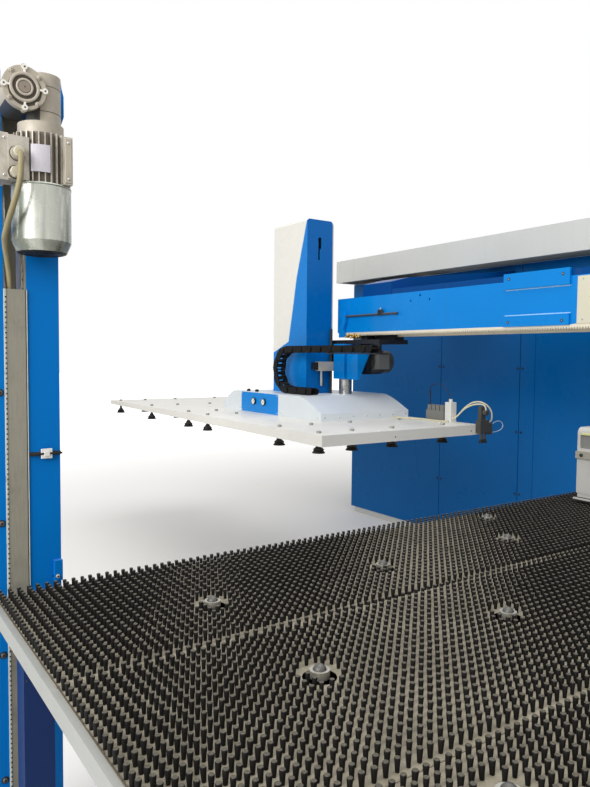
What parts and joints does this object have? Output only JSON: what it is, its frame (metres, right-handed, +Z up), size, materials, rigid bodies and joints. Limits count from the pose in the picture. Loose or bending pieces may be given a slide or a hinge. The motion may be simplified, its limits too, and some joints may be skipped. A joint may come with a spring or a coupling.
{
  "type": "cnc turret punch press",
  "caption": "Portal-frame sheet punching machine with turret discs, brush tables, clamp rail, beam loader with suction frame and a chain lift mast.",
  "frame": {"origin": "on the floor, straight under the punch axis, on the press base's underside", "axes": "+Z up; +X along the clamp rail from the left brush table to the right table; +Y from the operator's side to the rear cabinet"},
  "size_m": [6.914, 7.54, 2.576],
  "materials": {
    "blue_paint": "gloss",
    "deep_blue_paint": "satin",
    "grey_paint": "satin",
    "cream_paint": "satin",
    "machined_steel": "brushed",
    "dark_steel": "matt",
    "black_bristle": "matt",
    "black_plastic": "matt",
    "polished_steel": "polished",
    "black_rubber": "matt",
    "cast_alloy": "cast",
    "zinc_sheet": "satin",
    "cable_sheath": "matt",
    "hose_plastic": "satin"
  },
  "bodies": {
    "press": {"press_frame": "deep_blue_paint", "base_kerb": "grey_paint", "left_door_rear": "blue_paint", "left_door_middle": "blue_paint", "left_door_front": "blue_paint", "left_upper_cover": "blue_paint", "front_column_cover": "blue_paint", "right_and_rear_covers": "blue_paint", "canopy": "grey_paint", "door_locks": "black_plastic", "hydraulic_unit": "dark_steel", "turret_spindles": "machined_steel", "ram_cylinder": "dark_steel", "left_table_frame": "deep_blue_paint", "left_table_legs": "deep_blue_paint", "left_side_rail": "cream_paint", "left_brush_1": "black_bristle", "left_brush_2": "black_bristle", "left_brush_3": "black_bristle", "left_brush_4": "black_bristle", "right_table_frame": "deep_blue_paint", "right_brush": "black_bristle", "centre_table": "zinc_sheet", "ball_cups": "zinc_sheet", "table_balls": "polished_steel", "y_guide_rails": "machined_steel", "loading_beam": "blue_paint", "beam_brackets": "blue_paint", "beam_rails": "machined_steel", "mast_column": "blue_paint", "mast_channel": "zinc_sheet", "mast_chain": "machined_steel", "gear_motor": "cast_alloy", "motor_cable": "cable_sheath"},
    "lower_disc": {"lower_turret": "machined_steel"},
    "upper_disc": {"upper_turret": "machined_steel"},
    "ram": {"ram": "polished_steel"},
    "rail_saddle": {"y_saddles": "dark_steel", "clamp_rail": "cream_paint", "rail_end_housings": "cream_paint"},
    "clamp_carriage": {"x_carriage": "machined_steel"},
    "upper_jaws": {"clamp_jaws": "machined_steel"},
    "travel": {"travel_carriage": "dark_steel", "travel_motor": "dark_steel", "energy_chain": "black_plastic"},
    "pinion": {"travel_pinion": "machined_steel"},
    "lift": {"lift_column": "blue_paint", "suction_housing": "grey_paint", "gauge_panel": "blue_paint", "suction_frame": "cream_paint", "valve_block": "cast_alloy", "gripper_unit": "machined_steel", "outer_air_hose": "hose_plastic", "inner_air_hose": "hose_plastic", "gripper_loop_hose": "hose_plastic", "valve_loop_hose": "black_rubber"},
    "cups": {"suction_cups": "black_rubber"},
    "mast_slide": {"mast_carriage": "deep_blue_paint"},
    "drive_shaft": {"drive_sprocket": "machined_steel"},
    "idler_shaft": {"idler_sprocket": "machined_steel"}
  },
  "joints": [
    {"name": "lower_turn", "type": "hinge", "parent": "press", "child": "lower_disc", "pos_m": [0, -0.36, 0.87], "axis": [0, 0, 1], "continuous": true},
    {"name": "upper_turn", "type": "hinge", "parent": "press", "child": "upper_disc", "pos_m": [0, -0.36, 1.07], "axis": [0, 0, 1], "continuous": true},
    {"name": "ram_stroke", "type": "slide", "parent": "press", "child": "ram", "axis": [0, 0, 1], "range_m": [-0.04, 0]},
    {"name": "rail_feed", "type": "slide", "parent": "press", "child": "rail_saddle", "axis": [0, 1, 0], "range_m": [-0.9, 0]},
    {"name": "clamp_feed", "type": "slide", "parent": "rail_saddle", "child": "clamp_carriage", "axis": [1, 0, 0], "range_m": [-1.1, 1.1]},
    {"name": "jaw_grip", "type": "hinge", "parent": "clamp_carriage", "child": "upper_jaws", "pos_m": [0, 1.18, 1.06], "axis": [1, 0, 0], "range_deg": [-22, 5]},
    {"name": "beam_travel", "type": "slide", "parent": "press", "child": "travel", "axis": [0, 1, 0], "range_m": [-0.85, 0]},
    {"name": "pinion_turn", "type": "hinge", "parent": "travel", "child": "pinion", "pos_m": [-1.8, 3.42, 1.711], "axis": [1, 0, 0], "range_deg": [-1200, 1200]},
    {"name": "frame_lift", "type": "slide", "parent": "travel", "child": "lift", "axis": [0, 0, 1], "range_m": [-0.11, 0], "deforming": ["energy_chain"]},
    {"name": "cup_give", "type": "slide", "parent": "lift", "child": "cups", "axis": [0, 0, 1], "range_m": [0, 0.015], "stiffness_N_per_m": 6000},
    {"name": "mast_lift", "type": "slide", "parent": "press", "child": "mast_slide", "axis": [0, 0, 1], "range_m": [-0.8, 0.6]},
    {"name": "drive_turn", "type": "hinge", "parent": "press", "child": "drive_shaft", "pos_m": [-4.533, 1.666, 2.296], "axis": [0, 1, 0], "range_deg": [-3000, 3000]},
    {"name": "idler_turn", "type": "hinge", "parent": "press", "child": "idler_shaft", "pos_m": [-4.533, 1.666, 0.16], "axis": [0, 1, 0], "range_deg": [-3000, 3000]}
  ],
  "couplings": [
    {"joint": "lower_turn", "follows": "upper_turn", "ratio": 1},
    {"joint": "pinion_turn", "follows": "beam_travel", "rad_per_m": 22.222},
    {"joint": "drive_turn", "follows": "mast_lift", "rad_per_m": -45.455},
    {"joint": "idler_turn", "follows": "mast_lift", "rad_per_m": -45.455}
  ]
}
